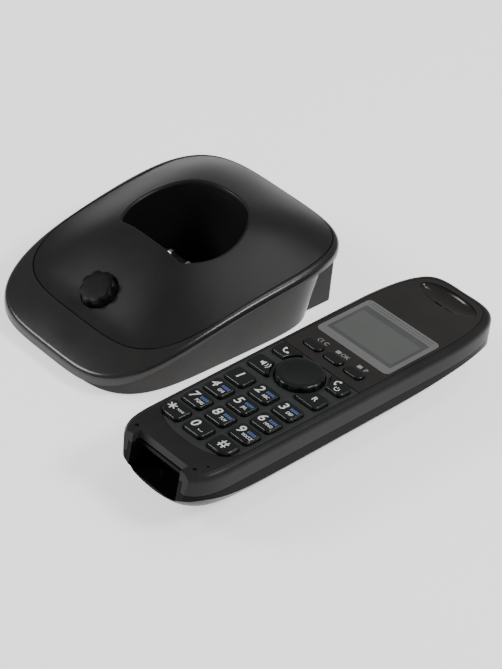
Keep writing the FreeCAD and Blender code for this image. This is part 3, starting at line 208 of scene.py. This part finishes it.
def glyph(text, size, x, y, z, weight=0.0, slant=0.0, wide=1.0):
    """Raised print of a few characters, centred on x, y."""
    curve = bpy.data.curves.new("text", "FONT")
    curve.body = text
    curve.size = size
    curve.align_x = "CENTER"
    curve.align_y = "CENTER"
    curve.offset = weight
    curve.shear = slant
    curve.extrude = PRINT_T
    return from_curve(curve, Matrix.Translation((x, y, z)) @ Matrix.Diagonal((wide, 1, 1, 1)))


def stroke(lines, width, z, closed=False):
    """Flattened round-ended lines through 2-D points."""
    curve = bpy.data.curves.new("stroke", "CURVE")
    curve.dimensions = "3D"
    curve.bevel_depth = width / 2
    curve.bevel_resolution = 2
    curve.use_fill_caps = True
    for line in lines:
        spline = curve.splines.new("POLY")
        spline.points.add(len(line) - 1)
        for point, (x, y) in zip(spline.points, line):
            point.co = (x, y, 0, 1)
        spline.use_cyclic_u = closed
    return from_curve(curve, Matrix.Translation((0, 0, z)) @ Matrix.Diagonal((1, 1, STROKE_FLAT, 1)))


def arc(x, y, r, start, end, count=14):
    """Points along an arc, angles in degrees."""
    turn = [math.radians(start + (end - start) * i / count) for i in range(count + 1)]
    return [(x + r * math.cos(a), y + r * math.sin(a)) for a in turn]


def rounded(x0, x1, y0, y1, r, count=6):
    """Points round a rectangle with round corners."""
    points = []
    corners = ((x1 - r, y1 - r, 0), (x0 + r, y1 - r, 90), (x0 + r, y0 + r, 180), (x1 - r, y0 + r, 270))
    for cx, cy, start in corners:
        points += arc(cx, cy, r, start, start + 90, count)
    return points


def ring_plate(outer, inner, z0, z1):
    """Flat frame between two outlines with the same number of points."""
    bm = bmesh.new()
    loops = []
    for outline, z in ((inner, z0), (inner, z1), (outer, z1), (outer, z0)):
        loops.append([bm.verts.new((x, y, z)) for x, y in outline])
    for k in range(4):
        a, b = loops[k], loops[(k + 1) % 4]
        for i in range(len(a)):
            j = (i + 1) % len(a)
            bm.faces.new((a[i], a[j], b[j], b[i]))
    bmesh.ops.recalc_face_normals(bm, faces=bm.faces)
    return bm


def plate(outline, z0, z1):
    """Flat plate with a given outline."""
    bm = bmesh.new()
    low = [bm.verts.new((x, y, z0)) for x, y in outline]
    high = [bm.verts.new((x, y, z1)) for x, y in outline]
    bm.faces.new(list(reversed(low)))
    bm.faces.new(high)
    for i in range(len(low)):
        j = (i + 1) % len(low)
        bm.faces.new((low[i], low[j], high[j], high[i]))
    return bm


def turned(profile, waves, depth, count=192):
    """Revolved knob: profile rows are (radius, z, share of the scallop)."""
    bm = bmesh.new()
    rings = []
    for r, z, share in profile:
        ring = []
        for i in range(count):
            a = 2 * math.pi * i / count
            dip = depth * share * (0.5 - 0.5 * math.cos(waves * a)) ** 2
            ring.append(bm.verts.new(((r - dip) * math.cos(a), (r - dip) * math.sin(a), z)))
        rings.append(ring)
    for a, b in zip(rings, rings[1:]):
        for i in range(count):
            j = (i + 1) % count
            bm.faces.new((a[i], a[j], b[j], b[i]))
    bm.faces.new(list(reversed(rings[0])))
    bm.faces.new(rings[-1])
    for face in bm.faces:
        face.smooth = len(face.verts) == 4
    return bm


def block(outline):
    """Filled print on a key top."""
    return plate(outline, PRINT_Z - PRINT_SINK, PRINT_Z + PRINT_T)


def print_on(key, parts):
    """Print that rides on its key."""
    piece("print_" + key, parts, HANDSET, key)


# ------------------------------------------------------------- digit legends
ROWS = [["key_star", "key_0", "key_hash"], ["key_7", "key_8", "key_9"],
        ["key_4", "key_5", "key_6"], ["key_1", "key_2", "key_3"]]
LATIN = {"2": "ABC", "3": "DEF", "4": "GHI", "5": "JKL", "6": "MNO", "7": "PQRS", "8": "TUV", "9": "WXYZ"}
SECOND_SCRIPT_MARKS = 4
SECOND_SCRIPT_PITCH = 0.95
SECOND_SCRIPT_W = 0.7


def star(x, y, r):
    """Three crossed strokes."""
    spokes = []
    for i in range(3):
        a = math.radians(90 + 60 * i)
        dx, dy = r * math.cos(a), r * math.sin(a)
        spokes.append([(x - dx, y - dy), (x + dx, y + dy)])
    return spokes


for row, names in enumerate(ROWS):
    for col, key in enumerate(names):
        x = (col - 1) * PITCH_X
        y = FIRST_ROW_Y + row * PITCH_Y
        sign = key.split("_")[1]
        if sign == "star":
            parts = [(stroke(star(x - 2.0, y + 0.2, 1.75), 0.6, PRINT_Z), WHITE),
                     (glyph("TONE", 1.2, x + 1.9, y + 0.2, PRINT_Z, 0.02), WHITE)]
        elif sign == "hash":
            lines = [[(x - 1.7, y - 0.7), (x + 1.6, y - 0.7)], [(x - 1.5, y + 0.8), (x + 1.8, y + 0.8)],
                     [(x - 0.9, y - 1.9), (x - 0.5, y + 2.0)], [(x + 0.7, y - 1.9), (x + 1.1, y + 2.0)]]
            parts = [(stroke(lines, 0.55, PRINT_Z), WHITE)]
        else:
            digit_x = x - (2.3 if sign != "1" else 0.6)
            parts = [(glyph(sign, DIGIT_SIZE, digit_x, y + 0.1, PRINT_Z, 0.07, 0.12), WHITE)]
        if sign == "0":
            space = [(x + 0.9, y - 1.0), (x + 0.9, y - 1.5), (x + 2.7, y - 1.5), (x + 2.7, y - 1.0)]
            parts.append((stroke([space], 0.3, PRINT_Z), WHITE))
        if sign in LATIN:
            letters = glyph(LATIN[sign], LETTER_SIZE, x + 2.0, y - 1.25, PRINT_Z, 0.03, 0.0, 0.78)
            parts.append((letters, WHITE))
            for k in range(SECOND_SCRIPT_MARKS):
                left = x + 0.35 + k * SECOND_SCRIPT_PITCH
                mark = rounded(left, left + SECOND_SCRIPT_W, y + 0.35, y + 1.75, 0.2, 3)
                parts.append((block(mark), BLUE))
        print_on(key, parts)

# ---------------------------------------------------------- function legends
def receiver(x, y, size, tilt):
    """Crescent handset sign."""
    points = arc(0, 0, size, 130 + tilt, 320 + tilt, 16)
    body = stroke([[(x + px, y + py) for px, py in points]], size * 0.42, PRINT_Z)
    ends = [arc(x + points[k][0], y + points[k][1], size * 0.42, 0, 330, 11) for k in (1, -2)]
    return [(body, WHITE)] + [(block(end), WHITE) for end in ends]


print_on("key_talk", receiver(-12.6, 76.0, 1.35, 10))
power = [(stroke([arc(14.0, 74.4, 0.95, 125, 415, 16)], THIN_LINE, PRINT_Z), WHITE),
         (stroke([[(14.0, 74.6), (14.0, 75.6)]], THIN_LINE, PRINT_Z), WHITE)]
print_on("key_off", receiver(12.2, 76.9, 1.2, -60) + power)
cone = [(-13.6, 63.6), (-12.8, 63.6), (-11.8, 62.8), (-11.8, 65.6), (-12.8, 64.8), (-13.6, 64.8)]
sound = [arc(-11.8, 64.2, 1.2, -50, 50, 8), arc(-11.8, 64.2, 2.2, -45, 45, 8)]
print_on("key_speaker", [(block(cone), WHITE), (stroke(sound, THIN_LINE, PRINT_Z), WHITE)])
print_on("key_recall", [(glyph("R", 3.2, 13.4, 64.2, PRINT_Z, 0.05), WHITE)])
page = [rounded(x, x + 2.0, MARK_Y - 0.8, MARK_Y + 0.9, 0.3, 3) for x in (-2.9, 7.8)]
marks = [(stroke([arc(-10.9, MARK_Y, 1.0, 90, 270, 10)], 0.3, MARK_Z), PALE),
         (stroke([[(-10.2, MARK_Y - 0.9), (-10.2, MARK_Y + 1.0)]], 0.3, MARK_Z), PALE),
         (glyph("C", 2.7, -8.0, MARK_Y, MARK_Z, 0.02), PALE),
         (plate(page[0], MARK_Z - PRINT_SINK, MARK_Z + PRINT_SINK), PALE),
         (glyph("OK", 2.5, 1.4, MARK_Y, MARK_Z, 0.02), PALE),
         (plate(page[1], MARK_Z - PRINT_SINK, MARK_Z + PRINT_SINK), PALE),
         (glyph("P", 2.7, 11.7, MARK_Y, MARK_Z, 0.02), PALE)]
piece("print_panel", marks, HANDSET, "handset")

# -------------------------------------------------------------------- display
WINDOW_TOP = FACE_Z - 0.05
outer = rounded(-18.0, 18.0, 95.6, 124.2, 2.0)
inner = rounded(-16.0, 16.0, 99.4, 120.4, 0.6)
lcd = rounded(-14.6, 14.6, 101.4, 117.2, 0.5)
rules = [[(-15.6, y), (15.6, y)] for y in (122.9, 121.6)]
piece("window_print", [
    (ring_plate(outer, inner, WINDOW_TOP + 0.002, WINDOW_TOP + 0.03), FRAME_GREY),
    (plate(lcd, WINDOW_TOP + 0.002, WINDOW_TOP + 0.02), LCD_FACE),
    (stroke(rules, 0.28, WINDOW_TOP + 0.035), LINE_DARK),
], HANDSET, "handset")

# ------------------------------------------------------------- scalloped keys
NAV_WAVES = 12
NAV_DIP = 0.6
KNOB_WAVES = 8
KNOB_DIP = 0.9
nav = [(NAV_R + 0.5, 23.0, 0), (NAV_R + 0.5, 23.6, 0), (NAV_R, 23.7, 0), (NAV_R, 25.6, 0.3), (NAV_R, 26.6, 1.0),
       (NAV_R - 0.1, 27.5, 0.8), (NAV_R - 0.45, 28.05, 0.2), (NAV_R - 1.0, 28.25, 0.0), (NAV_R - 2.6, 28.12, 0),
       (4.0, 27.88, 0), (0.4, 27.8, 0)]
nav_piece = piece("nav_disc", [(turned(nav, NAV_WAVES, NAV_DIP), PAINT["key_black"])],
                  HANDSET @ Matrix.Translation((0, NAV_Y * MM, 0)), "nav_key")
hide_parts("nav_key")

button_at = Vector((BASE.x, BASE.y + BUTTON_Y * MM, LID_AT_BUTTON * MM))
button_frame = Matrix.Translation(button_at) @ Matrix.Rotation(BUTTON_SLOPE, 4, "X")
knob = [(8.6, -3.4, 0), (8.6, -2.5, 0), (7.3, -2.3, 0), (7.3, -0.6, 0.6), (7.3, 1.2, 1.0), (7.2, 2.3, 1.0),
        (6.9, 3.0, 0.9), (6.4, 3.32, 0.6), (5.4, 3.4, 0.15), (2.5, 3.4, 0), (0.3, 3.4, 0)]
button_piece = piece("button_knob", [(turned(knob, KNOB_WAVES, KNOB_DIP), PAINT["button_black"])],
                     button_frame, "locator_button")
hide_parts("locator_button")

# ----------------------------------------------------------------- the camera
AZIMUTH = math.radians(44.07)
ELEVATION = math.radians(36.60)
ROLL = math.radians(5.89)
DISTANCE = 0.8338
LENS = 118.4
SENSOR = 36
TARGET = Vector((0.03336, 0.015, 0))

cam_data = bpy.data.cameras.new("camera")
cam_data.lens = LENS
cam_data.sensor_width = SENSOR
cam_data.clip_start = 0.01
cam = bpy.data.objects.new("camera", cam_data)
bpy.context.scene.collection.objects.link(cam)
level_part = math.cos(ELEVATION)
back = Vector((math.sin(AZIMUTH) * level_part, -math.cos(AZIMUTH) * level_part, math.sin(ELEVATION)))
right = Vector((math.cos(AZIMUTH), math.sin(AZIMUTH), 0))
up = back.cross(right)
cam_x = right * math.cos(ROLL) + up * math.sin(ROLL)
cam_y = up * math.cos(ROLL) - right * math.sin(ROLL)
turn = Matrix((cam_x, cam_y, back)).transposed()
cam.matrix_world = Matrix.Translation(BASE + TARGET + back * DISTANCE) @ turn.to_4x4()
bpy.context.scene.camera = cam

# ------------------------------------------------------------ floor and light
FLOOR_HALF = 3.0
SKY_BRIGHT_FROM = (-0.62, 0.70, -0.35)
bm = bmesh.new()
bmesh.ops.create_grid(bm, x_segments=2, y_segments=2, size=FLOOR_HALF)
mesh = bpy.data.meshes.new("floor")
bm.to_mesh(mesh)
bm.free()
floor = bpy.data.objects.new("floor", mesh)
bpy.context.scene.collection.objects.link(floor)
mesh.materials.append(material("floor_paper", (0.93, 0.93, 0.93), 0.85, spec=0.1, spread=0.005, smudge=20,
                               bump=0.02, glow=1.0))


def area(name, loc, size, power, target=(0, 0, 0)):
    """Soft rectangular light aimed at a point."""
    d = bpy.data.lights.new(name, "AREA")
    d.shape = "RECTANGLE"
    d.size, d.size_y = size
    d.energy = power
    o = bpy.data.objects.new(name, d)
    bpy.context.scene.collection.objects.link(o)
    o.location = loc
    o.rotation_euler = (Vector(target) - Vector(loc)).to_track_quat("-Z", "Y").to_euler()


area("fill", (-1.1, -1.2, 1.1), (0.6, 0.6), 16)
area("rim", (0.80, 0.42, 0.97), (0.45, 0.3), 9)
area("top", (0.25, 0.9, 1.9), (0.6, 0.6), 6)

# Soft grey surroundings, brighter low down behind the phone.
world = bpy.data.worlds.new("world")
world.use_nodes = True
wt = world.node_tree
tc = wt.nodes.new("ShaderNodeTexCoord")
dot = wt.nodes.new("ShaderNodeVectorMath")
dot.operation = "DOT_PRODUCT"
dot.inputs[1].default_value = SKY_BRIGHT_FROM
wt.links.new(tc.outputs["Generated"], dot.inputs[0])
level = wt.nodes.new("ShaderNodeMapRange")
level.inputs["From Min"].default_value = 0.45
level.inputs["From Max"].default_value = 1.0
level.inputs["To Min"].default_value = 0.25
level.inputs["To Max"].default_value = 0.45
wt.links.new(dot.outputs["Value"], level.inputs["Value"])
wt.nodes["Background"].inputs[0].default_value = (1, 1, 1, 1)
wt.links.new(level.outputs[0], wt.nodes["Background"].inputs[1])
bpy.context.scene.world = world
